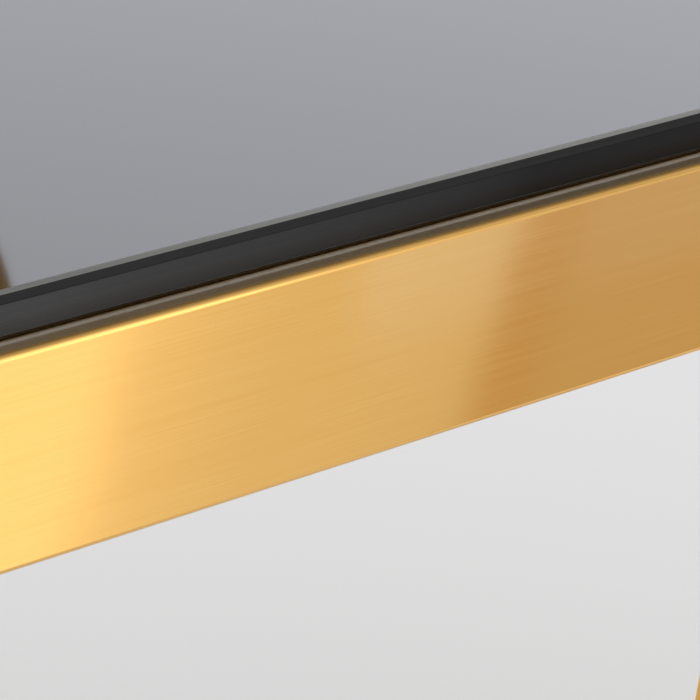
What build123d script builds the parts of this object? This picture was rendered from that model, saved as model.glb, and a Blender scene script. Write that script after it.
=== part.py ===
"""Vanity table: a black glass top on a brushed gold tube frame, two hanging drawers, a round tilting mirror.

Millimetres, +Z up, front faces -Y. The origin is on the floor, at the middle of the whole object's box.
The frame is two closed side loops of flat tube, joined by a front and a back rail and four bearers. Each
drawer case hangs from two bearers. A post on the back rail carries a half-round yoke, and the mirror tilts
in the yoke's two eyes.
"""
from build123d import *
import os

# --- driving dimensions -------------------------------------------------------------------------------
TABLE_W = 1400.0
TABLE_D = 450.0
TABLE_H = 750.0

# flat tube of the frame
TUBE_H = 50.0
TUBE_T = 25.0
TUBE_WALL = 1.5
TUBE_R = 1.7

# top: a thin sheet of black glass bonded to a thicker one, held to the rails by foam tape
UPPER_GLASS_T = 3.0
LOWER_GLASS_T = 7.25
UPPER_ARRIS = 0.75
LOWER_ARRIS = 0.8
TOP_SETBACK = 5.2
TOP_CORNER_R = 4.0
TAPE_T = 0.55
TAPE_W = 12.0
TAPE_L = 1260.0
TAPE_SHORT_L = 360.0

# feet
FOOT_H = 9.0
FOOT_GAP = 0.3
FOOT_R = 11.0
FOOT_STUD_R = 5.0
FOOT_STUD_L = 25.0
FOOT_INSET = 60.0
STUD_CLEARANCE = 0.1

# drawer cases
CASE_INNER_X = 412.0
CASE_LOOP_GAP = 2.0
CASE_H = 100.0
CASE_FRONT_Y = -206.0
CASE_BACK_Y = 205.0
PANEL = 12.0
THIN_PANEL = 9.0
CASE_SCREW_INSET = 18.0
CASE_SCREW_REACH = 120.0

# drawers
FRONT_T = 16.0
FRONT_SETBACK = 2.0
FRONT_TOP_GAP = 2.0
FRONT_EDGE_R = 1.2
BOX_H = 58.0
BOX_LIFT = 8.0
BOX_L = 352.0
BOX_BOTTOM_T = 5.0
SLIDE_SPACE = 12.5
SLIDE_L = 350.0
SHEET = 1.2

# knobs
KNOB_FOOT_R = 7.0
KNOB_FOOT_T = 2.0
KNOB_NECK_R = 4.5
KNOB_HEAD_R = 13.0
KNOB_HEAD_T = 8.0
M4_R = 1.95
M4_HOLE_R = 2.2
M4_HEAD_R = 3.8

# frame fixings
BEARER_OUTER_X = 635.0
BRACKET_LEG = 34.0
BRACKET_T = 3.0
BRACKET_H = 36.0
M6_R = 2.95
M6_TAPPED_R = 3.0
M6_HOLE_R = 3.2
M6_HEAD_R = 5.25
M6_HEAD_H = 3.3
M5_R = 2.45
M5_TAPPED_R = 2.5
M5_HOLE_R = 2.75
M5_HEAD_R = 4.6
M5_HEAD_H = 2.6

# mirror, yoke and post
MIRROR_Z = 1120.0
RING_R = 235.0
RING_DEPTH = 22.0
RING_WALL = 3.0
RING_LIP = 9.0
RING_LIP_T = 2.0
MIRROR_R = 231.5
MIRROR_T = 4.0
BACKING_T = 9.0
RING_SCREWS = 8
YOKE_GAP = 6.0
YOKE_T = 8.0
YOKE_W = 20.0
YOKE_EDGE_R = 1.5
POST_W = 40.0
POST_D = 20.0
POST_LOW = 682.0
PIN_R = 4.0
PIN_FLANGE_R = 8.0
PIN_FLANGE_T = 2.0
PIN_TAIL_R = 3.0
PIN_TAIL_L = 14.0
PIN_HOLE_L = 20.0
BUSH_R = 6.0
BUSH_CLEARANCE = 0.05
WASHER_GAP = 0.3
CAP_R = 12.0
CAP_T = 13.0

# --- places worked out from them ----------------------------------------------------------------------
GLASS_JOINT = TABLE_H - UPPER_GLASS_T
GLASS_LOW = GLASS_JOINT - LOWER_GLASS_T
FRAME_TOP = GLASS_LOW - TAPE_T
RAIL_LOW = FRAME_TOP - TUBE_H
RAIL_MID = FRAME_TOP - TUBE_H / 2
LOOP_X = TABLE_W / 2 - TUBE_T / 2
LOOP_INNER_X = TABLE_W / 2 - TUBE_T
RAIL_Y = TABLE_D / 2 - TUBE_T / 2
RAIL_INNER_Y = TABLE_D / 2 - TUBE_T
CASE_OUTER_X = LOOP_INNER_X - CASE_LOOP_GAP
CASE_W = CASE_OUTER_X - CASE_INNER_X
CASE_MID_X = (CASE_OUTER_X + CASE_INNER_X) / 2
CASE_LOW = RAIL_LOW - CASE_H
CASE_L = CASE_BACK_Y - CASE_FRONT_Y
CASE_MID_Y = (CASE_BACK_Y + CASE_FRONT_Y) / 2
BEARERS_X = (CASE_INNER_X + TUBE_T / 2, BEARER_OUTER_X - TUBE_T / 2)
CASE_SCREWS_X = (CASE_INNER_X + CASE_SCREW_INSET, BEARER_OUTER_X - TUBE_T / 2)
CASE_SCREWS_Y = (-CASE_SCREW_REACH, CASE_SCREW_REACH)
FRONT_FACE_Y = -TABLE_D / 2 + FRONT_SETBACK
FRONT_BACK_Y = FRONT_FACE_Y + FRONT_T
BOX_W = CASE_W - 2 * PANEL - 2 * SLIDE_SPACE
BOX_LOW = CASE_LOW + THIN_PANEL + BOX_LIFT
SLIDE_Z = BOX_LOW + BOX_H / 2
SLIDE_FRONT_Y = CASE_FRONT_Y + 2.0
MIRROR_Y = TABLE_D / 2 + POST_D / 2
BACK_REACH = TABLE_D / 2 + POST_D + M6_HEAD_H
KNOB_L = BACK_REACH + FRONT_FACE_Y
KNOB_Z = CASE_LOW + (CASE_H - FRONT_TOP_GAP) / 2
YOKE_R = RING_R + YOKE_GAP
EYE_RISE = YOKE_W / 2


# --- building blocks ----------------------------------------------------------------------------------
def block(x0, x1, y0, y1, z0, z1):
    """A box between two corners."""
    centre = Pos((x0 + x1) / 2, (y0 + y1) / 2, (z0 + z1) / 2)
    return centre * Box(x1 - x0, y1 - y0, z1 - z0)


def rod(radius, start, direction, length):
    """A cylinder from a start point along a direction."""
    return extrude(Plane(origin=start, z_dir=direction) * Circle(radius), amount=length)


def tube_section(width, thickness, wall=TUBE_WALL, radius=TUBE_R):
    """Section of a flat tube with rounded corners, centred on its axis."""
    inner_radius = max(radius - wall, 0.3)
    outside = RectangleRounded(width, thickness, radius)
    inside = RectangleRounded(width - 2 * wall, thickness - 2 * wall, inner_radius)
    return outside - inside


def mirrored(shape):
    """The same shape on the other side of the table's middle."""
    return mirror(shape, about=Plane.YZ)


def both_sides(shape):
    """A shape and its mirror image, as separate solids."""
    return [shape, mirrored(shape)]


def save(name, *shapes):
    """Writes one node, made of one or more separate solids."""
    solids = [solid for shape in shapes for solid in shape.solids()]
    node = solids[0] if len(solids) == 1 else Compound(children=solids)
    export_step(node, f"parts/{name}.step")


def pan_screw(tip, direction, length, shank_r, head_r, head_h):
    """A round-headed socket screw, its shank running for length back from the tip to the head."""
    along = Vector(*direction).normalized()
    under_head = Vector(*tip) - along * length
    head = rod(head_r, under_head, along * -1, head_h)
    head = fillet(head.edges().sort_by(Axis(under_head, along * -1))[-1:], head_h * 0.45)
    socket_floor = under_head - along * head_h * 0.35
    socket = Plane(origin=socket_floor, z_dir=along * -1) * RegularPolygon(head_r * 0.45, 6)
    return head - extrude(socket, amount=head_h) + rod(shank_r, under_head, along, length)


# --- top ----------------------------------------------------------------------------------------------
def top_sheet(low, thickness):
    """Round-cornered sheet, set back from the frame's outer faces."""
    width = TABLE_W - 2 * TOP_SETBACK
    depth = TABLE_D - 2 * TOP_SETBACK
    return Pos(0, 0, low) * extrude(RectangleRounded(width, depth, TOP_CORNER_R), amount=thickness)


def upper_glass():
    """Upper sheet with a ground arris round its upper edge."""
    sheet = top_sheet(GLASS_JOINT, UPPER_GLASS_T)
    return chamfer(sheet.faces().sort_by(Axis.Z)[-1].edges(), UPPER_ARRIS)


def lower_glass():
    """Lower sheet with a ground arris round its lower edge."""
    sheet = top_sheet(GLASS_LOW, LOWER_GLASS_T)
    return chamfer(sheet.faces().sort_by(Axis.Z)[0].edges(), LOWER_ARRIS)


def mounting_tape():
    """Four strips of foam tape, one along the middle of each rail."""
    long_strip = Box(TAPE_L, TAPE_W, TAPE_T)
    short_strip = Box(TAPE_W, TAPE_SHORT_L, TAPE_T)
    z = FRAME_TOP + TAPE_T / 2
    strips = [Pos(0, y, z) * long_strip for y in (-RAIL_Y, RAIL_Y)]
    return strips + [Pos(x, 0, z) * short_strip for x in (-LOOP_X, LOOP_X)]


# --- frame --------------------------------------------------------------------------------------------
def mitred_tube(length):
    """Flat tube along local X with both ends mitred, its longer edge on local +Y."""
    tube = Rot(0, 90, 0) * extrude(tube_section(TUBE_T, TUBE_H), amount=length / 2, both=True)
    half, edge = length / 2, TUBE_H / 2
    outline = Polygon((-half, edge), (half, edge), (half - TUBE_H, -edge), (-half + TUBE_H, -edge), align=None)
    return tube & extrude(outline, amount=TUBE_T, both=True)


def straight_tube(length):
    """Square-cut flat tube along local X, standing TUBE_H tall in local Z."""
    return Rot(0, 90, 0) * extrude(tube_section(TUBE_H, TUBE_T), amount=length / 2, both=True)


def loop_tubes():
    """The four mitred tubes of the right-hand side loop: top rail, runner, front leg, back leg."""
    height = FRAME_TOP - FOOT_H
    mid = (FRAME_TOP + FOOT_H) / 2
    leg_y = TABLE_D / 2 - TUBE_H / 2
    top = Plane((LOOP_X, 0, RAIL_MID), x_dir=(0, 1, 0), z_dir=(1, 0, 0)) * mitred_tube(TABLE_D)
    low = Plane((LOOP_X, 0, FOOT_H + TUBE_H / 2), x_dir=(0, 1, 0), z_dir=(-1, 0, 0)) * mitred_tube(TABLE_D)
    front = Plane((LOOP_X, -leg_y, mid), x_dir=(0, 0, 1), z_dir=(1, 0, 0)) * mitred_tube(height)
    back = Plane((LOOP_X, leg_y, mid), x_dir=(0, 0, 1), z_dir=(-1, 0, 0)) * mitred_tube(height)
    for y in bracket_screw_y():
        top -= rod(M6_TAPPED_R, (LOOP_INNER_X - 1, y, RAIL_MID), (1, 0, 0), TUBE_WALL + 2)
    for y in foot_y():
        low -= rod(FOOT_STUD_R + STUD_CLEARANCE, (LOOP_X, y, FOOT_H - 1), (0, 0, 1), TUBE_WALL + 2)
    return {"side_rail": top, "floor_runner": low, "front_leg": front, "back_leg": back}


def bracket_screw_y():
    """Y places of the screws that hold the brackets to a side rail."""
    reach = RAIL_INNER_Y - BRACKET_LEG * 0.6
    return (-reach, reach)


def foot_y():
    """Y places of the two feet under a runner."""
    return (-TABLE_D / 2 + FOOT_INSET, TABLE_D / 2 - FOOT_INSET)


def long_rail(sign):
    """Front (sign -1) or back (sign 1) rail, with the tapped holes of the brackets."""
    rail = Pos(0, sign * RAIL_Y, RAIL_MID) * straight_tube(2 * LOOP_INNER_X)
    reach = LOOP_INNER_X - BRACKET_LEG * 0.6
    for x in (-reach, reach):
        start = (x, sign * (RAIL_INNER_Y - 1), RAIL_MID)
        rail -= rod(M6_TAPPED_R, start, (0, sign, 0), TUBE_WALL + 2)
    return rail


def back_rail():
    """Back rail, with two more tapped holes for the mirror post."""
    rail = long_rail(1)
    for z in post_bolt_z():
        rail -= rod(M6_TAPPED_R, (0, TABLE_D / 2 - TUBE_WALL - 1, z), (0, 1, 0), TUBE_WALL + 2)
    return rail


def bearers():
    """Four tubes across the frame that carry the drawer cases."""
    found = []
    for x, screw_x in zip(BEARERS_X, CASE_SCREWS_X):
        bearer = Pos(x, 0, RAIL_MID) * Rot(0, 0, 90) * straight_tube(2 * RAIL_INNER_Y)
        for y in CASE_SCREWS_Y:
            bearer -= rod(M5_TAPPED_R, (screw_x, y, RAIL_LOW - 1), (0, 0, 1), TUBE_WALL + 2)
        found += both_sides(bearer)
    return found


def corner_bracket():
    """Angle bracket inside the frame's right-hand back corner."""
    x1, y1 = LOOP_INNER_X, RAIL_INNER_Y
    z0, z1 = RAIL_MID - BRACKET_H / 2, RAIL_MID + BRACKET_H / 2
    bracket = block(x1 - BRACKET_T, x1, y1 - BRACKET_LEG, y1, z0, z1)
    bracket += block(x1 - BRACKET_LEG, x1, y1 - BRACKET_T, y1, z0, z1)
    hole_at = BRACKET_LEG * 0.6
    bracket -= rod(M6_HOLE_R, (x1 - BRACKET_T - 1, y1 - hole_at, RAIL_MID), (1, 0, 0), BRACKET_T + 2)
    bracket -= rod(M6_HOLE_R, (x1 - hole_at, y1 - BRACKET_T - 1, RAIL_MID), (0, 1, 0), BRACKET_T + 2)
    return bracket


def bracket_screws():
    """The two screws of the bracket in the right-hand back corner."""
    hole_at = BRACKET_LEG * 0.6
    length = BRACKET_T + TUBE_WALL + 6
    into_side = (LOOP_INNER_X - BRACKET_T + length, RAIL_INNER_Y - hole_at, RAIL_MID)
    into_rail = (LOOP_INNER_X - hole_at, RAIL_INNER_Y - BRACKET_T + length, RAIL_MID)
    return [
        pan_screw(into_side, (1, 0, 0), length, M6_R, M6_HEAD_R, M6_HEAD_H),
        pan_screw(into_rail, (0, 1, 0), length, M6_R, M6_HEAD_R, M6_HEAD_H),
    ]


def four_corners(shapes):
    """Shapes of the right-hand back corner, repeated in all four."""
    both_ends = shapes + [mirror(shape, about=Plane.XZ) for shape in shapes]
    return both_ends + [mirrored(shape) for shape in both_ends]


def foot(x, y):
    """Levelling foot: a round nylon pad with a stud that screws into the runner."""
    pad = Pos(x, y, 0) * extrude(Circle(FOOT_R), amount=FOOT_H - FOOT_GAP)
    pad = chamfer(pad.edges().group_by(Axis.Z)[0], 1.0)
    pad = fillet(pad.edges().group_by(Axis.Z)[-1], 1.0)
    return pad + rod(FOOT_STUD_R, (x, y, FOOT_H - FOOT_GAP - 1), (0, 0, 1), FOOT_STUD_L)


# --- drawer cases and drawers, right-hand side --------------------------------------------------------
def case_parts():
    """Top, sides, bottom and back of the right-hand drawer case."""
    x0, x1, y0, y1 = CASE_INNER_X, CASE_OUTER_X, CASE_FRONT_Y, CASE_BACK_Y
    top = block(x0, x1, y0, y1, RAIL_LOW - PANEL, RAIL_LOW)
    for x in CASE_SCREWS_X:
        for y in CASE_SCREWS_Y:
            top -= rod(M5_HOLE_R, (x, y, RAIL_LOW - PANEL - 1), (0, 0, 1), PANEL + 2)
    side_top = RAIL_LOW - PANEL
    sides = [block(x0, x0 + PANEL, y0, y1, CASE_LOW, side_top), block(x1 - PANEL, x1, y0, y1, CASE_LOW, side_top)]
    bottom = block(x0 + PANEL, x1 - PANEL, y0, y1, CASE_LOW, CASE_LOW + THIN_PANEL)
    back = block(x0 + PANEL, x1 - PANEL, y1 - THIN_PANEL, y1, CASE_LOW + THIN_PANEL, side_top)
    return {"case_top": [top], "case_sides": sides, "case_bottom": [bottom], "case_back": [back]}


def case_screws():
    """Screws up through the right-hand case's top panel into its bearers."""
    length = PANEL + TUBE_WALL + 5
    tip_z = RAIL_LOW - PANEL + length
    return [
        pan_screw((x, y, tip_z), (0, 0, 1), length, M5_R, M5_HEAD_R, M5_HEAD_H)
        for x in CASE_SCREWS_X
        for y in CASE_SCREWS_Y
    ]


def channel(u0, u1, half_height, web_first):
    """A C-shaped sheet profile along Y. Local X runs from the case wall to the drawer wall."""
    web_u = (u0, u0 + SHEET) if web_first else (u1 - SHEET, u1)
    y0, y1 = SLIDE_FRONT_Y, SLIDE_FRONT_Y + SLIDE_L
    shape = block(*web_u, y0, y1, -half_height, half_height)
    for low in (-half_height, half_height - SHEET):
        shape += block(u0, u1, y0, y1, low, low + SHEET)
    return shape


def slide_members():
    """Outer, middle and inner members of the right-hand case's two ball-bearing slides."""
    members = {
        "slide_outer": channel(0.0, 9.5, 17.5, True),
        "slide_middle": channel(2.6, 10.4, 14.5, True),
        "slide_inner": channel(5.2, SLIDE_SPACE, 11.0, False),
    }
    found = {}
    for name, shape in members.items():
        near = Pos(CASE_INNER_X + PANEL, 0, SLIDE_Z) * shape
        far = Pos(CASE_OUTER_X - PANEL, 0, SLIDE_Z) * mirror(shape, about=Plane.YZ)
        found[name] = [near, far]
    return found


def drawer_parts():
    """Front, walls, bottom, knob and knob screw of the right-hand drawer."""
    x0, x1 = CASE_MID_X - BOX_W / 2, CASE_MID_X + BOX_W / 2
    y0, y1 = FRONT_BACK_Y, FRONT_BACK_Y + BOX_L
    z0, z1 = BOX_LOW, BOX_LOW + BOX_H
    front = block(CASE_INNER_X, CASE_OUTER_X, FRONT_FACE_Y, y0, CASE_LOW, RAIL_LOW - FRONT_TOP_GAP)
    front = fillet(front.faces().sort_by(Axis.Y)[0].edges(), FRONT_EDGE_R)
    front -= rod(M4_HOLE_R, (CASE_MID_X, FRONT_FACE_Y - 1, KNOB_Z), (0, 1, 0), FRONT_T + 2)
    sides = [block(x0, x0 + PANEL, y0, y1, z0, z1), block(x1 - PANEL, x1, y0, y1, z0, z1)]
    near_end = block(x0 + PANEL, x1 - PANEL, y0, y0 + PANEL, z0, z1)
    near_end -= rod(M4_HOLE_R, (CASE_MID_X, y0 - 1, KNOB_Z), (0, 1, 0), PANEL + 2)
    far_end = block(x0 + PANEL, x1 - PANEL, y1 - PANEL, y1, z0, z1)
    bottom = block(x0 + PANEL, x1 - PANEL, y0 + PANEL, y1 - PANEL, z0, z0 + BOX_BOTTOM_T)
    screw_l = PANEL + FRONT_T + 8
    screw = pan_screw((CASE_MID_X, y0 + PANEL - screw_l, KNOB_Z), (0, -1, 0), screw_l, M4_R, M4_HEAD_R, 2.4)
    return {
        "drawer_front": [front],
        "drawer_sides": sides,
        "drawer_ends": [near_end, far_end],
        "drawer_bottom": [bottom],
        "drawer_knob": [drawer_knob()],
        "knob_screw": [screw],
    }


def drawer_knob():
    """Turned knob: foot, narrow neck and a round head, with a blind tapped hole."""
    start = (CASE_MID_X, FRONT_FACE_Y, KNOB_Z)
    head_start = (CASE_MID_X, FRONT_FACE_Y - KNOB_L + KNOB_HEAD_T, KNOB_Z)
    forward = (0, -1, 0)
    foot_disc = rod(KNOB_FOOT_R, start, forward, KNOB_FOOT_T)
    neck = rod(KNOB_NECK_R, start, forward, KNOB_L - KNOB_HEAD_T)
    head = rod(KNOB_HEAD_R, head_start, forward, KNOB_HEAD_T)
    head = fillet(head.edges().group_by(Axis.Y)[0], KNOB_HEAD_T * 0.4)
    head = fillet(head.edges().group_by(Axis.Y)[-1], KNOB_HEAD_T * 0.2)
    knob = foot_disc + neck + head
    return knob - rod(M4_R + 0.05, (CASE_MID_X, FRONT_FACE_Y + 1, KNOB_Z), forward, 10)


# --- mirror -------------------------------------------------------------------------------------------
MIRROR_FRONT = MIRROR_Y - RING_DEPTH / 2
BACKING_Y = MIRROR_FRONT + RING_LIP_T + MIRROR_T


def disc(radius, y0, y1):
    """Round plate about the mirror's axis, between two Y places."""
    return rod(radius, (0, y0, MIRROR_Z), (0, 1, 0), y1 - y0)


def mirror_ring():
    """Rolled ring frame with a front lip over the mirror's edge."""
    back = MIRROR_FRONT + RING_DEPTH
    ring = disc(RING_R, MIRROR_FRONT, back)
    ring = fillet(ring.edges(), 0.8)
    ring -= disc(RING_R - RING_WALL, MIRROR_FRONT + RING_LIP_T, back + 1)
    ring -= disc(RING_R - RING_WALL - RING_LIP, MIRROR_FRONT - 1, MIRROR_FRONT + RING_LIP_T + 1)
    for start, direction in pivot_starts():
        ring -= rod(PIN_TAIL_R + 0.05, start, direction, PIN_HOLE_L)
    for screw_start, inward in ring_screw_places():
        ring -= rod(1.6, screw_start, inward, 10)
    return ring


def pivot_starts():
    """Start point outside the ring and inward direction of each pivot pin's tail."""
    reach = RING_R + 2
    return [((side * reach, MIRROR_Y, MIRROR_Z), (-side, 0, 0)) for side in (-1, 1)]


def ring_screw_places():
    """Start point outside the ring and inward direction of each backing screw."""
    screw_y = BACKING_Y + BACKING_T / 2
    places = []
    for index in range(RING_SCREWS):
        outward = Vector(1, 0, 0).rotate(Axis.Y, (index + 0.5) * 360 / RING_SCREWS)
        start = Vector(0, screw_y, MIRROR_Z) + outward * (RING_R + 2)
        places.append((start, outward * -1))
    return places


def mirror_backing():
    """Backing board, drilled for the pivot tails and the ring's screws."""
    board = disc(MIRROR_R, BACKING_Y, BACKING_Y + BACKING_T)
    for start, direction in pivot_starts():
        board -= rod(PIN_TAIL_R + 0.05, start, direction, PIN_HOLE_L)
    for start, inward in ring_screw_places():
        board -= rod(1.3, start, inward, 16)
    return board


def ring_screws():
    """Small flat screws from outside the ring into the backing board."""
    found = []
    for start, inward in ring_screw_places():
        tip = start + inward * (2 + 12)
        found.append(pan_screw(tip, inward, 12.2, 1.25, 2.6, 1.0))
    return found


def pivot_pin():
    """Right-hand pivot pin: a tail into the ring, a flange against it and the journal."""
    tail = rod(PIN_TAIL_R, (RING_R - PIN_TAIL_L, MIRROR_Y, MIRROR_Z), (1, 0, 0), PIN_TAIL_L + 1)
    flange = rod(PIN_FLANGE_R, (RING_R, MIRROR_Y, MIRROR_Z), (1, 0, 0), PIN_FLANGE_T)
    journal = rod(PIN_R, (RING_R, MIRROR_Y, MIRROR_Z), (1, 0, 0), YOKE_GAP + YOKE_T + 9)
    return tail + flange + journal


def friction_washer():
    """Spring washer that holds the mirror's tilt, between the pin's flange and the yoke."""
    start = RING_R + PIN_FLANGE_T
    length = YOKE_GAP - PIN_FLANGE_T - WASHER_GAP
    ring = rod(PIN_FLANGE_R, (start, MIRROR_Y, MIRROR_Z), (1, 0, 0), length)
    return ring - rod(PIN_R + 0.1, (start - 1, MIRROR_Y, MIRROR_Z), (1, 0, 0), length + 2)


def pivot_cap():
    """Round grooved cap on the outer end of a pivot pin."""
    start = YOKE_R + YOKE_T + 0.4
    cap = rod(CAP_R, (start, MIRROR_Y, MIRROR_Z), (1, 0, 0), CAP_T)
    cap = fillet(cap.edges().group_by(Axis.X)[-1], 2.5)
    cap = chamfer(cap.edges().group_by(Axis.X)[0], 0.6)
    groove = rod(CAP_R + 1, (start + 3.0, MIRROR_Y, MIRROR_Z), (1, 0, 0), 1.2)
    groove -= rod(CAP_R - 0.8, (start + 2.0, MIRROR_Y, MIRROR_Z), (1, 0, 0), 4)
    return cap - groove - rod(PIN_R, (start - 1, MIRROR_Y, MIRROR_Z), (1, 0, 0), 10)


def mirror_yoke():
    """Half-round flat bar under the mirror, with an upright eye at each end."""
    bar = Pos(YOKE_R + YOKE_T / 2, 0) * RectangleRounded(YOKE_T, YOKE_W, YOKE_EDGE_R)
    half = revolve(bar, axis=Axis.Y, revolution_arc=180)
    yoke = Pos(0, MIRROR_Y, MIRROR_Z) * half
    if yoke.bounding_box().max.Z > MIRROR_Z + 1:
        yoke = Pos(0, MIRROR_Y, MIRROR_Z) * Rot(180, 0, 0) * half
    eye_section = RectangleRounded(YOKE_T, YOKE_W, YOKE_EDGE_R)
    for side in (-1, 1):
        upright = extrude(eye_section, amount=EYE_RISE)
        dome = Rot(0, 90, 0) * extrude(Circle(YOKE_W / 2), amount=YOKE_T / 2, both=True)
        eye = Pos(side * (YOKE_R + YOKE_T / 2), MIRROR_Y, MIRROR_Z) * (upright & dome)
        yoke += eye
    for side in (-1, 1):
        start = (side * (YOKE_R - 1), MIRROR_Y, MIRROR_Z)
        yoke -= rod(BUSH_R, start, (side, 0, 0), YOKE_T + 2)
    return yoke


def yoke_bush():
    """Plain nylon bush in the right-hand eye."""
    start = (YOKE_R, MIRROR_Y, MIRROR_Z)
    return rod(BUSH_R, start, (1, 0, 0), YOKE_T) - rod(PIN_R + BUSH_CLEARANCE, start, (1, 0, 0), YOKE_T)


def post_bolt_z():
    """Heights of the two bolts that hold the post to the back rail."""
    return (RAIL_MID - 12.0, RAIL_MID + 12.0)


def mirror_post():
    """Upright tube behind the back rail, its top cut to the yoke's curve."""
    height = MIRROR_Z - YOKE_R - POST_LOW
    section = Pos(0, MIRROR_Y, POST_LOW) * tube_section(POST_W, POST_D)
    post = extrude(section, amount=height)
    post -= disc(YOKE_R + YOKE_T, MIRROR_Y - POST_D, MIRROR_Y + POST_D)
    for z in post_bolt_z():
        post -= rod(M6_HOLE_R, (0, TABLE_D / 2 - 1, z), (0, 1, 0), POST_D + 2)
    return post


def post_end_cap():
    """Plastic plug in the post's lower end."""
    inside = RectangleRounded(POST_W - 2 * TUBE_WALL - 0.2, POST_D - 2 * TUBE_WALL - 0.2, 0.5)
    plug = Pos(0, MIRROR_Y, POST_LOW) * extrude(inside, amount=6)
    lid = Pos(0, MIRROR_Y, POST_LOW - 2) * extrude(RectangleRounded(POST_W, POST_D, TUBE_R), amount=2)
    return plug + lid


def post_bolts():
    """Two long screws through the post into the back rail."""
    length = POST_D + TUBE_WALL + 10
    tip_y = TABLE_D / 2 + POST_D - length
    return [
        pan_screw((0, tip_y, z), (0, -1, 0), length, M6_R, M6_HEAD_R, M6_HEAD_H) for z in post_bolt_z()
    ]


# --- the whole object ---------------------------------------------------------------------------------
def build():
    os.makedirs("parts", exist_ok=True)
    save("upper_glass", upper_glass())
    save("lower_glass", lower_glass())
    save("mounting_tape", *mounting_tape())
    save("front_rail", long_rail(-1))
    save("back_rail", back_rail())
    save("case_bearers", *bearers())
    for name, tube in loop_tubes().items():
        save(f"right_{name}", tube)
        save(f"left_{name}", mirrored(tube))
    save("corner_brackets", *four_corners([corner_bracket()]))
    save("bracket_screws", *four_corners(bracket_screws()))
    save("case_screws", *case_screws(), *[mirrored(screw) for screw in case_screws()])
    for row, y in zip(("front", "back"), foot_y()):
        save(f"right_{row}_foot", foot(LOOP_X, y))
        save(f"left_{row}_foot", foot(-LOOP_X, y))
    for group in (case_parts(), slide_members(), drawer_parts()):
        for name, shapes in group.items():
            save(f"right_{name}", *shapes)
            save(f"left_{name}", *[mirrored(shape) for shape in shapes])
    save("mirror_glass", disc(MIRROR_R, MIRROR_FRONT + RING_LIP_T, BACKING_Y))
    save("mirror_backing", mirror_backing())
    save("mirror_ring", mirror_ring())
    save("ring_screws", *ring_screws())
    save("pivot_pins", *both_sides(pivot_pin()))
    save("pivot_caps", *both_sides(pivot_cap()))
    save("friction_washers", *both_sides(friction_washer()))
    save("mirror_yoke", mirror_yoke())
    save("yoke_bushes", *both_sides(yoke_bush()))
    save("mirror_post", mirror_post())
    save("post_end_cap", post_end_cap())
    save("post_bolts", *post_bolts())


build()
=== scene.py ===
"""Looks for the vanity table: close view of its front edge, with brushed gold, black glass and a studio."""
import bmesh
import bpy
import math
from mathutils import Matrix, Vector


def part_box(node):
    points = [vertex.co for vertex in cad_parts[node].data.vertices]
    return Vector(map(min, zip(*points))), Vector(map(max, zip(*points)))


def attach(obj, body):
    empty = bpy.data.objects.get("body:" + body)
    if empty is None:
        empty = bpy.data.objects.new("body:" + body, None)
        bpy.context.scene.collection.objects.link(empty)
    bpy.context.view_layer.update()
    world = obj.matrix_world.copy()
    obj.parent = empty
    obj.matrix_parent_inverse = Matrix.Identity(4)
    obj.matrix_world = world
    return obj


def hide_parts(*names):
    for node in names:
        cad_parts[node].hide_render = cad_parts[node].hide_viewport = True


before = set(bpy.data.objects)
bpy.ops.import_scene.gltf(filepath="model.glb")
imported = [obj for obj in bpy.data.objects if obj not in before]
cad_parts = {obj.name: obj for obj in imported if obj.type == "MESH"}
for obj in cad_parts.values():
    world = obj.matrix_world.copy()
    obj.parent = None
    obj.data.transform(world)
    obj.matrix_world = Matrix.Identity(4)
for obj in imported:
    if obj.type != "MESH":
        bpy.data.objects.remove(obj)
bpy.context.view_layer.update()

MM = 0.001
X, Y, Z = 0, 1, 2

# --- the camera, as fitted to the edge's lines --------------------------------------------------------
VIEW_AZIMUTH = -47.07
VIEW_ELEVATION = 25.0
VIEW_ROLL = 8.0
VIEW_DISTANCE = 0.820
VIEW_LENS = 201.7
SENSOR_WIDTH = 36.0
AIM_X = -0.075
AIM_BELOW_RAIL_TOP = 0.02136
NEAREST_SEEN = 0.01

# --- construction details that the frame's boxes don't give -------------------------------------------
TUBE_R = 1.7 * MM
TUBE_INNER_R = 0.3 * MM
TUBE_WALL = 1.5 * MM
MITRE_EASE = 0.15 * MM
UPPER_ARRIS = 0.75 * MM
LOWER_ARRIS = 0.8 * MM
LOWER_ARRIS_RISE = 0.55 * MM
MICRO_EDGE = 0.07 * MM
SHEET_CORNER_R = 4.0 * MM

# --- linear colours, and levels given as (place in metres, level) pairs --------------------------------
GOLD = (1.0, 0.60, 0.185)
GOLD_DEEP = (0.96, 0.54, 0.145)
# The pale tone of the dust film, also used for the painted highlight line in front of the glass.
DUST_AND_PAINTED_LIGHT_TONE = (0.65, 0.56, 0.445)
# Dust and painted light on upper faces along Y: a painted highlight line in front of the glass, painted shade
# just under its edge where next to no dust is left, a real dust film elsewhere.
DUST_AND_PAINTED_LIGHT_STEPS = [(-0.2222, 0.17), (-0.2216, 0.24), (-0.2211, 0.42), (-0.2206, 0.46),
              (-0.2200, 0.15), (-0.2196, 0.02), (-0.2190, 0.02), (-0.2185, 0.17)]
# Painted sheen on the glass edges, levels along X: the lower edge lighter to the left, where the light falls,
# the upper edge nearly even, a little lighter to the right.
UPPER_EDGE_PAINTED_SHEEN = [(-0.15, 0.013), (0.0, 0.017)]
LOWER_EDGE_PAINTED_SHEEN = [(-0.160, 0.058), (-0.136, 0.046), (-0.106, 0.038), (-0.075, 0.031),
                   (-0.044, 0.021), (-0.029, 0.014), (-0.018, 0.007)]


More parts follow.
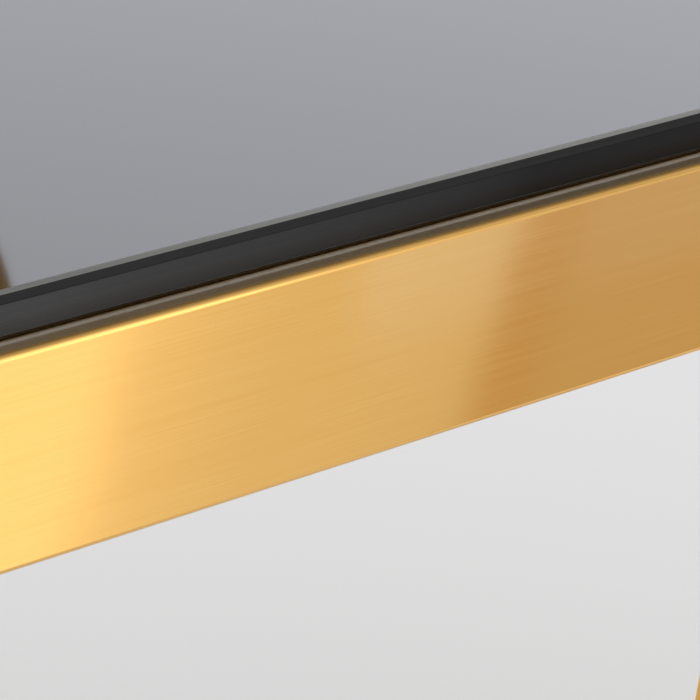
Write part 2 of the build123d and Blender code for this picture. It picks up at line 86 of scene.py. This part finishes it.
# --- node shorthand -----------------------------------------------------------------------------------
class Look:
    """One material: a Principled shader and short calls that add nodes in front of it."""

    def __init__(self, name, **shader_values):
        self.material = bpy.data.materials.new(name)
        self.material.use_nodes = True
        self.tree = self.material.node_tree
        self.tree.nodes.clear()
        output = self.tree.nodes.new("ShaderNodeOutputMaterial")
        self.shader = self.tree.nodes.new("ShaderNodeBsdfPrincipled")
        self.tree.links.new(self.shader.outputs[0], output.inputs[0])
        for socket, value in shader_values.items():
            self.shader.inputs[socket.replace("_", " ")].default_value = value

    def add(self, kind, inputs=None, **settings):
        """Adds a node. Inputs are given by name or number, as sockets to link or plain values."""
        node = self.tree.nodes.new("ShaderNode" + kind)
        for key, value in settings.items():
            setattr(node, key, value)
        for key, value in (inputs or {}).items():
            if isinstance(value, bpy.types.NodeSocket):
                self.tree.links.new(value, node.inputs[key])
            else:
                node.inputs[key].default_value = value
        return node

    def math(self, operation, a, b=0.0):
        return self.add("Math", {0: a, 1: b}, operation=operation).outputs[0]

    def vector(self, operation, a, b=(0, 0, 0)):
        node = self.add("VectorMath", {0: a, 1: b}, operation=operation)
        return node.outputs["Value"] if operation in ("DOT_PRODUCT", "LENGTH") else node.outputs[0]

    def place(self):
        """The point on the piece, in metres, in the row frame at rest."""
        return self.add("TexCoord").outputs["Object"]

    def along(self, axis):
        """How far along one axis the point is."""
        return self.add("SeparateXYZ", {0: self.place()}).outputs[axis]

    def stretched(self, point, scale):
        """The point with each axis scaled, for a texture of a given fineness along each axis."""
        return self.vector("MULTIPLY", point, scale)

    def noise(self, point, scale=1.0, detail=2.0, roughness=0.5):
        values = {"Vector": point, "Scale": scale, "Detail": detail, "Roughness": roughness}
        return self.add("TexNoise", values).outputs[0]

    def spread(self, value, low, high, from_low=0.0, from_high=1.0):
        """Maps a value from one range to another, clamped."""
        values = {"Value": value, "From Min": from_low, "From Max": from_high, "To Min": low, "To Max": high}
        return self.add("MapRange", values).outputs[0]

    def mix(self, factor, a, b):
        """Mixes two colours, each a triple or a socket."""
        a, b = ((*tone, 1) if isinstance(tone, tuple) else tone for tone in (a, b))
        return self.add("Mix", {0: factor, 6: a, 7: b}, data_type="RGBA").outputs[2]

    def bump(self, height, depth, strength=1.0, normal=None):
        values = {"Height": height, "Distance": depth, "Strength": strength}
        if normal is not None:
            values["Normal"] = normal
        return self.add("Bump", values).outputs[0]

    def set(self, socket, value):
        """Links a varying value to one of the shader's inputs."""
        self.tree.links.new(value, self.shader.inputs[socket])


def profile(look, place, steps):
    """A level that follows (place, level) pairs, flat before the first and after the last."""
    level = steps[0][1]
    for (x0, level0), (x1, level1) in zip(steps, steps[1:]):
        level = look.math("ADD", look.spread(place, 0.0, level1 - level0, x0, x1), level)
    return level


# --- materials ----------------------------------------------------------------------------------------
BRUSHED = {"Anisotropic": 0.85, "Anisotropic_Rotation": 0.25}
FINE_STREAKS = 2600.0
SOFT_STREAKS = 420.0


def streaked_gold(look, soft_point, fine_point):
    """Brushed gold: streaks in colour, gloss and height, duller rounded edges, dust on the upper faces, with a
    painted highlight line in front of the glass and painted shade just under its edge.
    """
    fine = look.noise(fine_point, detail=3.0, roughness=0.6)
    soft = look.noise(soft_point, detail=1.0)
    cloud = look.noise(look.place(), scale=11.0)
    tone = look.math("ADD", look.math("MULTIPLY", fine, 0.62), look.math("MULTIPLY", soft, 0.18))
    tone = look.math("ADD", tone, look.math("MULTIPLY", cloud, 0.2))
    colour = look.mix(look.spread(tone, 0.0, 1.0, 0.32, 0.68), GOLD_DEEP, GOLD)
    up = look.vector("DOT_PRODUCT", look.add("NewGeometry").outputs["Normal"], (0, 0, 1))
    rounded = look.math("MULTIPLY", look.spread(up, 0.0, 1.0, 0.25, 0.80),
                        look.spread(up, 1.0, 0.0, 0.94, 0.985))
    look.set("Roughness", look.math("ADD", look.spread(tone, 0.055, 0.085, 0.3, 0.7),
                                    look.math("MULTIPLY", rounded, 0.16)))
    waves = look.bump(cloud, 0.03 * MM, strength=0.5)
    look.set("Normal", look.bump(fine, 0.002 * MM, strength=0.4, normal=waves))
    patches = look.spread(look.noise(look.place(), scale=900.0), 0.7, 1.3)
    # Dust amount along Y, in patches, with a painted highlight line in front of the glass and painted shade
    # just under its edge.
    dust_and_painted_light = look.math("MULTIPLY", profile(look, look.along("Y"), DUST_AND_PAINTED_LIGHT_STEPS), patches)
    # Only on upper faces: real dust, with the painted highlight line and the painted shade, mixed in as the
    # dust tone and less metal.
    grey_amount = look.math("MULTIPLY", look.spread(up, 0.0, 1.0, 0.90, 0.99), dust_and_painted_light)
    look.set("Base Color", look.mix(look.spread(grey_amount, 0.0, 1.0, 0.0, 0.28), colour, DUST_AND_PAINTED_LIGHT_TONE))
    look.set("Metallic", look.math("SUBTRACT", 1.0, grey_amount))


def brushed_along(look, direction):
    """Turns the highlight to lie across a direction that is given on the piece."""
    look.set("Tangent", look.add("VectorTransform", {0: direction}, vector_type="VECTOR",
                                 convert_from="OBJECT", convert_to="WORLD").outputs[0])
    return look.material


def brushed_gold(name, axis):
    """Gold-coloured metal brushed along one axis of the row frame."""
    look = Look(name, **BRUSHED)
    fine, soft = [FINE_STREAKS] * 3, [SOFT_STREAKS] * 3
    fine[axis], soft[axis] = 22.0, 4.0
    point = look.place()
    streaked_gold(look, look.stretched(point, soft), look.stretched(point, fine))
    direction = [0.0] * 3
    direction[axis] = 1.0
    return brushed_along(look, direction)


def turned_gold(name, centre):
    """Gold-coloured metal brushed round an axis that runs along Y through centre."""
    look = Look(name, **BRUSHED)
    offset = look.vector("SUBTRACT", look.place(), tuple(centre))
    parts = look.add("SeparateXYZ", {0: offset}).outputs
    angle = look.math("ARCTAN2", parts["X"], parts["Z"])
    flat = look.add("CombineXYZ", {"X": parts["X"], "Z": parts["Z"]}).outputs[0]
    radius = look.vector("LENGTH", flat)
    unrolled = look.add("CombineXYZ", {"X": angle, "Y": radius, "Z": parts["Y"]}).outputs[0]
    streaked_gold(look, look.stretched(unrolled, (1.2, SOFT_STREAKS, SOFT_STREAKS)),
                  look.stretched(unrolled, (6.0, FINE_STREAKS, FINE_STREAKS)))
    around = look.vector("NORMALIZE", look.vector("CROSS_PRODUCT", flat, (0, 1, 0)))
    return brushed_along(look, around)


def black_glass():
    """Polished black glass: a deep black body, faint smears and a few specks of dust on top."""
    look = Look("black_glass", IOR=1.52)
    point = look.place()
    smear = look.noise(look.stretched(point, (7.0, 16.0, 7.0)), detail=4.0)
    specks = look.add("TexVoronoi", {"Vector": point, "Scale": 95.0}).outputs["Distance"]
    grain = look.noise(point, scale=60.0, detail=0.0)
    dust = look.math("MULTIPLY", look.math("LESS_THAN", specks, 0.035),
                     look.math("GREATER_THAN", grain, 0.58))
    look.set("Base Color", look.mix(dust, (0.004, 0.004, 0.005), (0.30, 0.30, 0.31)))
    look.set("Roughness", look.math("ADD", look.spread(smear, 0.015, 0.06), look.math("MULTIPLY", dust, 0.5)))
    return look.material


def ground_glass(name, low, high):
    """The matt ground arris of a glass sheet, from one grey to another along X."""
    look = Look(name, IOR=1.5)
    point = look.place()
    marks = look.noise(look.stretched(point, (30.0, 30.0, 900.0)), detail=3.0)
    grit = look.noise(point, scale=5200.0, detail=1.0)
    # Lighter toward +X along the sheet, with faint marks.
    grey_along_x = look.math("ADD", look.spread(look.along("X"), 0.1, 0.9, -0.16, -0.03),
                     look.spread(marks, -0.15, 0.15, 0.3, 0.7))
    look.set("Base Color", look.mix(grey_along_x, low, high))
    look.set("Roughness", look.spread(grit, 0.40, 0.62))
    look.set("Normal", look.bump(grit, 0.02 * MM, strength=0.6))
    return look.material


def edge_glass(name, painted_sheen_steps):
    """The flat edge of a black glass sheet: faint wheel lines and a painted sheen, a grey that varies along X.
    """
    look = Look(name, IOR=1.22)
    point = look.place()
    lines = look.noise(look.stretched(point, (1.5, 1.5, 2300.0)), detail=2.0)
    cloud = look.noise(point, scale=35.0, detail=3.0)
    # The grey level is painted sheen: lighter where the light falls along the edge, broken by the wheel lines.
    grey_amount = look.math("MULTIPLY", profile(look, look.along("X"), painted_sheen_steps),
                     look.spread(lines, 0.92, 1.08, 0.35, 0.7))
    bluer = look.math("MULTIPLY", grey_amount, 1.02)
    look.set("Base Color", look.add("CombineColor", {0: grey_amount, 1: grey_amount, 2: bluer}).outputs[0])
    look.set("Roughness", look.spread(cloud, 0.25, 0.35))
    look.set("Normal", look.bump(lines, 0.01 * MM, strength=0.5))
    return look.material


def black_lacquer():
    """Satin black lacquer with a slight orange peel, worn a little lighter in patches."""
    look = Look("black_lacquer", IOR=1.5, Coat_Weight=0.35, Coat_Roughness=0.12)
    point = look.place()
    peel = look.noise(point, scale=520.0, detail=2.0)
    cloud = look.noise(point, scale=14.0, detail=4.0)
    look.set("Base Color", look.mix(cloud, (0.010, 0.010, 0.011), (0.018, 0.018, 0.019)))
    look.set("Roughness", look.spread(cloud, 0.26, 0.36))
    look.set("Normal", look.bump(peel, 0.03 * MM, strength=0.35))
    return look.material


def birch():
    """Clear-finished birch for the drawer boxes, its grain along Y."""
    look = Look("drawer_wood", IOR=1.5)
    point = look.place()
    warp = look.noise(look.stretched(point, (14.0, 2.0, 14.0)), detail=3.0)
    grain_point = look.vector("ADD", look.stretched(point, (190.0, 6.0, 190.0)),
                              look.add("CombineXYZ", {"X": look.math("MULTIPLY", warp, 9.0)}).outputs[0])
    grain = look.noise(grain_point, detail=5.0, roughness=0.62)
    pores = look.noise(look.stretched(point, (2400.0, 90.0, 2400.0)), detail=1.0)
    tone = look.math("ADD", look.math("MULTIPLY", grain, 0.8), look.math("MULTIPLY", pores, 0.2))
    look.set("Base Color", look.mix(look.spread(tone, 0.0, 1.0, 0.36, 0.66), (0.40, 0.265, 0.150),
                                    (0.60, 0.44, 0.29)))
    look.set("Roughness", look.spread(grain, 0.38, 0.52))
    look.set("Normal", look.bump(tone, 0.05 * MM, strength=0.3))
    return look.material


def zinc_steel():
    """Bright zinc plating with a faint crystalline cloud."""
    look = Look("zinc_steel", Metallic=1.0)
    point = look.place()
    cells = look.add("TexVoronoi", {"Vector": point, "Scale": 260.0}).outputs["Color"]
    cloud = look.noise(point, scale=120.0, detail=4.0)
    shade = look.add("SeparateXYZ", {0: cells}).outputs[0]
    tone = look.math("ADD", look.math("MULTIPLY", shade, 0.3), look.math("MULTIPLY", cloud, 0.7))
    look.set("Base Color", look.mix(tone, (0.50, 0.51, 0.52), (0.70, 0.71, 0.72)))
    look.set("Roughness", look.spread(tone, 0.22, 0.38))
    look.set("Normal", look.bump(cloud, 0.01 * MM, strength=0.3))
    return look.material


def black_nylon():
    """Moulded black nylon with a fine spark-eroded grain."""
    look = Look("black_nylon", IOR=1.5)
    point = look.place()
    grain = look.noise(point, scale=1900.0, detail=2.0)
    cloud = look.noise(point, scale=60.0, detail=2.0)
    look.set("Base Color", look.mix(cloud, (0.016, 0.016, 0.017), (0.032, 0.032, 0.033)))
    look.set("Roughness", look.spread(grain, 0.48, 0.66))
    look.set("Normal", look.bump(grain, 0.04 * MM, strength=0.4))
    return look.material


def foam_tape():
    """Dark closed-cell foam."""
    look = Look("foam_tape", IOR=1.45)
    point = look.place()
    cells = look.add("TexVoronoi", {"Vector": point, "Scale": 2600.0}).outputs["Distance"]
    look.set("Base Color", look.mix(cells, (0.010, 0.008, 0.006), (0.030, 0.024, 0.018)))
    look.set("Roughness", look.spread(cells, 0.8, 0.95))
    look.set("Normal", look.bump(cells, 0.1 * MM, strength=0.5))
    return look.material


def silvered_glass():
    """The mirror, with the faintest smears."""
    look = Look("silvered_glass", Metallic=1.0, IOR=1.52)
    smear = look.noise(look.stretched(look.place(), (9.0, 9.0, 5.0)), detail=5.0)
    look.set("Base Color", look.mix(smear, (0.90, 0.925, 0.915), (0.93, 0.945, 0.94)))
    look.set("Roughness", look.spread(smear, 0.0, 0.022, 0.45, 0.75))
    return look.material


RING_LOW, RING_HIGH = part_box("mirror_ring")
MIRROR_CENTRE = (RING_LOW + RING_HIGH) / 2
LOOKS = {
    "gold_x": brushed_gold("gold_x", 0),
    "gold_y": brushed_gold("gold_y", 1),
    "gold_z": brushed_gold("gold_z", 2),
    "gold_ring": turned_gold("gold_ring", MIRROR_CENTRE),
    "black_glass": black_glass(),
    "upper_ground_glass": ground_glass("upper_ground_glass", (0.148, 0.149, 0.138),
                                       (0.236, 0.234, 0.226)),
    "lower_ground_glass": ground_glass("lower_ground_glass", (0.24, 0.26, 0.29), (0.26, 0.28, 0.31)),
    "upper_edge_glass": edge_glass("upper_edge_glass", UPPER_EDGE_PAINTED_SHEEN),
    "lower_edge_glass": edge_glass("lower_edge_glass", LOWER_EDGE_PAINTED_SHEEN),
    "black_lacquer": black_lacquer(),
    "drawer_wood": birch(),
    "zinc_steel": zinc_steel(),
    "black_nylon": black_nylon(),
    "foam_tape": foam_tape(),
    "silvered_glass": silvered_glass(),
}


# --- mesh helpers -------------------------------------------------------------------------------------
def finished(name, mesh_data, looks, body, nodes):
    """Turns a bmesh into a smooth-shaded piece that rides on a body and stands for CAD nodes."""
    bmesh.ops.recalc_face_normals(mesh_data, faces=mesh_data.faces)
    mesh = bpy.data.meshes.new(name)
    mesh_data.to_mesh(mesh)
    mesh_data.free()
    mesh.shade_smooth()
    piece = bpy.data.objects.new(name, mesh)
    bpy.context.scene.collection.objects.link(piece)
    for look in looks:
        mesh.materials.append(LOOKS[look])
    weighted = piece.modifiers.new("face_weighted_normals", "WEIGHTED_NORMAL")
    weighted.weight = 100
    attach(piece, body)
    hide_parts(*nodes)
    return piece


def flat_shaded(piece):
    """Shades every face flat, so that the edge breaks stay crisp."""
    for face in piece.data.polygons:
        face.use_smooth = False


def rounded_outline(half_u, half_v, radius, steps):
    """Points round a rounded rectangle, as (u, v) pairs."""
    points = []
    for turn, (su, sv) in enumerate(((1, 1), (-1, 1), (-1, -1), (1, -1))):
        for step in range(steps + 1):
            angle = (turn + step / steps) * math.pi / 2
            points.append((su * (half_u - radius) + radius * math.cos(angle),
                           sv * (half_v - radius) + radius * math.sin(angle)))
    return points


def bridge(mesh_data, ring_a, ring_b, look=0):
    """Quads between two closed rings of vertices."""
    count = len(ring_a)
    for index in range(count):
        after = (index + 1) % count
        face = mesh_data.faces.new((ring_a[index], ring_a[after], ring_b[after], ring_b[index]))
        face.material_index = look


def ring_of(mesh_data, points):
    """A ring of new vertices at the given points."""
    return [mesh_data.verts.new(point) for point in points]


# --- tubes --------------------------------------------------------------------------------------------
CORNER_STEPS = 10


def tube(node, axis, tall, look, mitre=0.0):
    """Flat tube that stands for a CAD tube: axis is its length, tall its longer edge.

    mitre is the side of the frame that the longer ends are on: +1 or -1 along the tall axis, 0 for square ends.
    """
    low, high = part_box(node)
    centre, size = (low + high) / 2, high - low
    flat = 3 - axis - tall
    half_long, half_tall, half_flat = size[axis] / 2, size[tall] / 2, size[flat] / 2
    mesh_data = bmesh.new()

    def section(radius, inset, end, shrink):
        """The tube's outline at one end; shrink is the small break round the cut edge."""
        points = []
        inward = inset + shrink
        for u, v in rounded_outline(half_tall - inward, half_flat - inward, radius, CORNER_STEPS):
            point = Vector((0, 0, 0))
            cut = (half_tall - u * mitre) * abs(mitre)
            point[axis] = end * (half_long - cut - (0.0 if shrink else MITRE_EASE))
            point[tall], point[flat] = u, v
            points.append(centre + point)
        return ring_of(mesh_data, points)

    outside, inside = [], []
    for end in (-1, 1):
        outer = section(TUBE_R, 0.0, end, 0.0)
        outer_end = section(TUBE_R, 0.0, end, MITRE_EASE)
        inner_end = section(TUBE_INNER_R, TUBE_WALL, end, MITRE_EASE)
        outside.append(outer)
        inside.append(inner_end)
        bridge(mesh_data, outer, outer_end)
        bridge(mesh_data, outer_end, inner_end)
    bridge(mesh_data, *outside)
    bridge(mesh_data, *inside)
    return finished(node + "_tube", mesh_data, [look], "frame", [node])


for rail in ("front_rail", "back_rail"):
    tube(rail, X, Z, "gold_x")
for side in ("left", "right"):
    tube(side + "_side_rail", Y, Z, "gold_y", mitre=1)
    tube(side + "_floor_runner", Y, Z, "gold_y", mitre=-1)
    tube(side + "_front_leg", Z, Y, "gold_z", mitre=-1)
    tube(side + "_back_leg", Z, Y, "gold_z", mitre=1)


# --- glass top ----------------------------------------------------------------------------------------
SHEET_STEPS = 12


def glass_sheet(node, top_arris, low_arris, low_rise):
    """A black glass sheet. An edge break wider than MICRO_EDGE is a ground arris."""
    low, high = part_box(node)
    centre, half = (low + high) / 2, (high - low) / 2
    mesh_data = bmesh.new()

    def outline(z, inset):
        corner = max(SHEET_CORNER_R - inset, MM)
        points = rounded_outline(half.x - inset, half.y - inset, corner, SHEET_STEPS)
        return ring_of(mesh_data, [(centre.x + u, centre.y + v, z) for u, v in points])

    rows = [outline(low.z, low_arris), outline(low.z + low_rise, 0.0),
            outline(high.z - top_arris, 0.0), outline(high.z, top_arris)]
    polished, ground, edge = 0, 1, 2
    bridge(mesh_data, rows[0], rows[1], ground if low_arris > MICRO_EDGE else edge)
    bridge(mesh_data, rows[1], rows[2], edge)
    bridge(mesh_data, rows[2], rows[3], ground if top_arris > MICRO_EDGE else edge)
    mesh_data.faces.new(rows[3]).material_index = polished
    mesh_data.faces.new(rows[0]).material_index = polished
    which = node.split("_")[0]
    looks = ["black_glass", which + "_ground_glass", which + "_edge_glass"]
    flat_shaded(finished(node + "_sheet", mesh_data, looks, "frame", [node]))


glass_sheet("upper_glass", UPPER_ARRIS, MICRO_EDGE, MICRO_EDGE)
glass_sheet("lower_glass", MICRO_EDGE, LOWER_ARRIS, LOWER_ARRIS_RISE)


# --- round pieces about the mirror's axis -------------------------------------------------------------
ROUND_STEPS = 256
FILLET_STEPS = 4


def lathe(name, centre, points, look, node, closed=True):
    """Turns (radius, y) points about an axis along Y through centre. Radius 0 makes a single point."""
    mesh_data = bmesh.new()
    rows = []
    for radius, y in points:
        if radius == 0:
            rows.append([mesh_data.verts.new((centre.x, y, centre.z))])
            continue
        angles = [2 * math.pi * index / ROUND_STEPS for index in range(ROUND_STEPS)]
        rows.append(ring_of(mesh_data, [(centre.x + radius * math.cos(a), y, centre.z + radius * math.sin(a))
                                        for a in angles]))
    for row_a, row_b in zip(rows, rows[1:] + rows[:1] if closed else rows[1:]):
        if len(row_a) == len(row_b):
            bridge(mesh_data, row_a, row_b)
            continue
        tip, rim = (row_a[0], row_b) if len(row_a) == 1 else (row_b[0], row_a)
        for index in range(ROUND_STEPS):
            mesh_data.faces.new((tip, rim[index], rim[(index + 1) % ROUND_STEPS]))
    return finished(name, mesh_data, [look], "mirror", [node])


def rounded_profile(corners):
    """Rounds each (radius, y, fillet) corner of a closed profile and returns (radius, y) points."""
    points = []
    for index, (radius, y, fillet) in enumerate(corners):
        if fillet == 0:
            points.append((radius, y))
            continue
        here = Vector((radius, y))
        before = (Vector(corners[index - 1][:2]) - here).normalized()
        after = (Vector(corners[(index + 1) % len(corners)][:2]) - here).normalized()
        for step in range(FILLET_STEPS + 1):
            t = step / FILLET_STEPS
            a, b = here + before * fillet, here + after * fillet
            point = a * (1 - t) ** 2 + here * 2 * t * (1 - t) + b * t ** 2
            points.append((point.x, point.y))
    return points


RING_R = (RING_HIGH.x - RING_LOW.x) / 2
RING_WALL = 3 * MM
RING_LIP = 9 * MM
RING_LIP_T = 2 * MM
BEVEL_WIDTH = 22 * MM
BEVEL_DROP = 0.35 * MM
RIM_WIDTH = 0.4 * MM
RIM_DROP = 0.8 * MM


def mirror_ring():
    """Rolled ring with rounded rims and a front lip."""
    front, back = RING_LOW.y, RING_HIGH.y
    inner = RING_R - RING_WALL
    corners = [(inner - RING_LIP, front, 0.7 * MM), (RING_R, front, 0.8 * MM), (RING_R, back, 0.8 * MM),
               (inner, back, 0.5 * MM), (inner, front + RING_LIP_T, 0.0),
               (inner - RING_LIP, front + RING_LIP_T, 0.5 * MM)]
    lathe("mirror_ring_rim", MIRROR_CENTRE, rounded_profile(corners), "gold_ring",
          "mirror_ring")


def mirror_glass():
    """Silvered glass with a shallow bevel round its edge."""
    low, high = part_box("mirror_glass")
    radius = (high.x - low.x) / 2
    points = [(0, low.y), (radius - BEVEL_WIDTH, low.y), (radius - RIM_WIDTH, low.y + BEVEL_DROP),
              (radius, low.y + RIM_DROP), (radius, high.y), (0, high.y)]
    flat_shaded(lathe("mirror_glass_plate", MIRROR_CENTRE, points, "silvered_glass",
                      "mirror_glass", closed=False))


mirror_ring()
mirror_glass()


# --- looks for the CAD nodes that keep their shape ----------------------------------------------------
def dress(node, look):
    """Gives a CAD node's own mesh one of the looks."""
    for material_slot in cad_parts[node].material_slots:
        material_slot.material = LOOKS[look]


for node, look in {
    "mounting_tape": "foam_tape", "case_bearers": "gold_y", "corner_brackets": "zinc_steel",
    "bracket_screws": "zinc_steel", "case_screws": "zinc_steel", "mirror_backing": "black_lacquer",
    "ring_screws": "zinc_steel", "pivot_pins": "zinc_steel", "pivot_caps": "gold_ring",
    "friction_washers": "black_nylon", "mirror_yoke": "gold_ring", "yoke_bushes": "black_nylon",
    "mirror_post": "gold_z", "post_end_cap": "black_nylon", "post_bolts": "zinc_steel",
}.items():
    dress(node, look)
for side in ("left", "right"):
    for part, look in {
        "front_foot": "black_nylon", "back_foot": "black_nylon", "case_top": "black_lacquer",
        "case_sides": "black_lacquer", "case_bottom": "black_lacquer", "case_back": "black_lacquer",
        "slide_outer": "zinc_steel", "slide_middle": "zinc_steel", "slide_inner": "zinc_steel",
        "drawer_front": "black_lacquer", "drawer_sides": "drawer_wood", "drawer_ends": "drawer_wood",
        "drawer_bottom": "drawer_wood", "knob_screw": "zinc_steel", "drawer_knob": "gold_ring",
    }.items():
        dress(side + "_" + part, look)


# --- studio -------------------------------------------------------------------------------------------
FLOOR_REACH = 60.0
WORLD_STRENGTH = 0.715
TABLE_MIDDLE = Vector((0, 0, 0.75))

# The card in front, which only the gold sees: levels along X, low down, for the post, and higher up.
FRONT_Y = -1.0
FRONT_LEFT, FRONT_RIGHT, FRONT_TOP = -3, 4, 1.15
FRONT_RADIANCE = 0.77
LOW_STEPS = [(0.560, 1.60), (0.580, 1.48), (0.592, 1.27), (0.607, 1.16), (0.652, 1.06), (0.696, 0.99),
             (0.862, 0.90), (0.8695, 0.89), (0.8725, 0.70), (0.905, 0.69), (0.930, 0.71)]
POST_STEPS = [(0.8695, 0.0), (0.8725, 1.0), (0.905, 1.0), (0.930, 0.5)]
HIGH_STEPS = [(0.55, 2.2), (0.59, 1.6), (0.62, 1.28), (0.69, 1.08), (0.76, 0.97), (0.85, 0.90), (1.0, 0.82)]

# The panel behind, which the top mirrors: levels along Z.
BACK_DIRECTION = Vector((0.663, 0.617, 0.44))
BACK_CENTRE = TABLE_MIDDLE + BACK_DIRECTION * 3.6
BACK_WIDTH, BACK_HEIGHT = 3.4, 2.2
BACK_TINT = (0.97, 0.98, 1.05)
BACK_STEPS = [(1.9, 2.14), (2.1, 2.20), (2.7, 2.37)]

# The ceiling: levels along Y.
CEILING_Z = 3.2
CEILING_SIDE, CEILING_FRONT, CEILING_REAR = 5, -6, 0.8
CEILING_STEPS = [(-3.6, 0.70), (-1.9, 0.42), (-0.4, 0.16), (0.8, 0.10)]
WHITE = (1.0, 1.0, 1.0)


def plane(name, corners):
    """A flat piece of the studio, not part of the table."""
    mesh = bpy.data.meshes.new(name)
    mesh.from_pydata(corners, [], [tuple(range(len(corners)))])
    piece = bpy.data.objects.new(name, mesh)
    bpy.context.scene.collection.objects.link(piece)
    return piece


def studio_floor():
    """A plain pale floor."""
    reach = FLOOR_REACH
    floor = plane("floor", [(-reach, -reach, 0), (reach, -reach, 0), (reach, reach, 0), (-reach, reach, 0)])
    look = Look("floor", Roughness=0.9, Specular_IOR_Level=0.0)
    cloud = look.noise(look.place(), scale=0.6)
    look.set("Base Color", look.mix(cloud, (0.832, 0.835, 0.840), (0.842, 0.845, 0.850)))
    floor.data.materials.append(look.material)


def studio_world():
    """Even pale light from all round."""
    world = bpy.data.worlds.new("studio")
    world.use_nodes = True
    background = world.node_tree.nodes["Background"]
    background.inputs["Color"].default_value = (1.0, 1.0, 1.0, 1)
    background.inputs["Strength"].default_value = WORLD_STRENGTH
    bpy.context.scene.world = world


def gloss_card(name, corners):
    """A card that only glossy rays meet; its caller sets the colour and strength that it glows with."""
    card = plane(name, corners)
    for kind in ("camera", "diffuse", "shadow", "transmission", "volume_scatter"):
        setattr(card, "visible_" + kind, False)
    look = Look(name)
    output = next(node for node in look.tree.nodes if node.type == "OUTPUT_MATERIAL")
    look.tree.nodes.remove(look.shader)
    look.shader = look.add("Emission")
    look.tree.links.new(look.shader.outputs[0], output.inputs[0])
    card.data.materials.append(look.material)
    return look


def front_card():
    """The room in front of the table as the gold sees it: pale, bright to the left, with a dark post."""
    look = gloss_card("front_card", [(FRONT_LEFT, FRONT_Y, 0), (FRONT_RIGHT, FRONT_Y, 0),
                                     (FRONT_RIGHT, FRONT_Y, FRONT_TOP), (FRONT_LEFT, FRONT_Y, FRONT_TOP)])
    right, height = look.along("X"), look.along("Z")
    lean = look.math("MULTIPLY", look.math("SUBTRACT", height, 0.18), -0.18)
    waves = look.math("MULTIPLY", look.noise(look.place(), scale=18.0, detail=0.0), 0.014)
    across = look.math("ADD", look.math("ADD", right, lean), look.math("SUBTRACT", waves, 0.007))
    upper = look.spread(height, 0.0, 1.0, 0.36, 0.42)
    lower = look.math("SUBTRACT", 1.0, upper)
    level = look.math("ADD", look.math("MULTIPLY", profile(look, across, LOW_STEPS), lower),
                      look.math("MULTIPLY", profile(look, right, HIGH_STEPS), upper))
    fade = look.spread(height, 1.0, 0.62, 0.80, FRONT_TOP)
    haze = look.math("MULTIPLY", look.spread(height, 0.0, 1.0, 0.17, 0.21),
                     look.spread(right, 0.0, 1.0, 0.75, 0.77))
    warm = look.mix(profile(look, across, POST_STEPS), WHITE, (1.0, 0.81, 0.60))
    cool = look.mix(look.math("MULTIPLY", haze, lower), WHITE, (1.04, 1.12, 1.5))
    look.set("Color", look.vector("MULTIPLY", warm, cool))
    look.set("Strength", look.math("MULTIPLY", look.math("MULTIPLY", level, fade), FRONT_RADIANCE))


def back_card():
    """The window-like pale panel behind the table that the black glass mirrors, dimmer low down."""
    toward = (TABLE_MIDDLE - BACK_CENTRE).normalized()
    side = toward.cross(Vector((0, 0, 1))).normalized() * BACK_WIDTH / 2
    rise = side.cross(toward).normalized() * BACK_HEIGHT / 2
    signs = ((-1, -1), (1, -1), (1, 1), (-1, 1))
    look = gloss_card("back_card", [BACK_CENTRE + side * su + rise * sv for su, sv in signs])
    look.shader.inputs["Color"].default_value = (*BACK_TINT, 1)
    look.set("Strength", profile(look, look.along("Z"), BACK_STEPS))


def ceiling_card():
    """The dim ceiling over the front of the table, a little paler toward the front."""
    look = gloss_card("ceiling_card", [(-CEILING_SIDE, CEILING_FRONT, CEILING_Z),
                                       (CEILING_SIDE, CEILING_FRONT, CEILING_Z),
                                       (CEILING_SIDE, CEILING_REAR, CEILING_Z),
                                       (-CEILING_SIDE, CEILING_REAR, CEILING_Z)])
    back = look.along("Y")
    look.set("Color", look.mix(look.spread(back, 0.0, 1.0, -3.0, CEILING_REAR), WHITE, (0.95, 0.97, 1.0)))
    look.set("Strength", profile(look, back, CEILING_STEPS))


def softbox(name, place, aim, width, height, radiance):
    """White area light of a given radiance, not seen by the camera."""
    light = bpy.data.lights.new(name, "AREA")
    light.shape = "RECTANGLE"
    light.size, light.size_y = width, height
    light.energy = radiance * math.pi * width * height
    lamp = bpy.data.objects.new(name, light)
    lamp.location = place
    lamp.rotation_euler = (Vector(aim) - Vector(place)).to_track_quat("-Z", "Y").to_euler()
    lamp.visible_camera = False
    bpy.context.scene.collection.objects.link(lamp)
    return lamp


def camera():
    """The photo's view: from the front left, a little above, rolled."""
    azimuth, elevation, roll = (math.radians(a) for a in (VIEW_AZIMUTH, VIEW_ELEVATION, VIEW_ROLL))
    low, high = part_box("front_rail")
    aim = Vector((AIM_X, low.y, high.z - AIM_BELOW_RAIL_TOP))
    back = Vector((math.sin(azimuth) * math.cos(elevation), -math.cos(azimuth) * math.cos(elevation),
                   math.sin(elevation)))
    right = Vector((math.cos(azimuth), math.sin(azimuth), 0))
    up = back.cross(right)
    rolled_right = right * math.cos(roll) + up * math.sin(roll)
    rolled_up = up * math.cos(roll) - right * math.sin(roll)
    data = bpy.data.cameras.new("camera")
    data.sensor_width = SENSOR_WIDTH
    data.lens = VIEW_LENS
    data.clip_start = NEAREST_SEEN
    rig = bpy.data.objects.new("camera", data)
    axes = Matrix((rolled_right, rolled_up, back)).transposed().to_4x4()
    rig.matrix_world = Matrix.Translation(aim + back * VIEW_DISTANCE) @ axes
    bpy.context.scene.collection.objects.link(rig)
    bpy.context.scene.camera = rig


studio_floor()
studio_world()
front_card()
ceiling_card()
back_card()
softbox("back_softbox", BACK_CENTRE, TABLE_MIDDLE, BACK_WIDTH, BACK_HEIGHT, 1.0).visible_glossy = False
softbox("overhead", (-0.6, -0.8, 3.4), (0, 0, 0.6), 2.6, 2.2, 1.0)
camera()
scene = bpy.context.scene
scene.view_settings.view_transform = "Standard"
scene.cycles.use_denoising = True
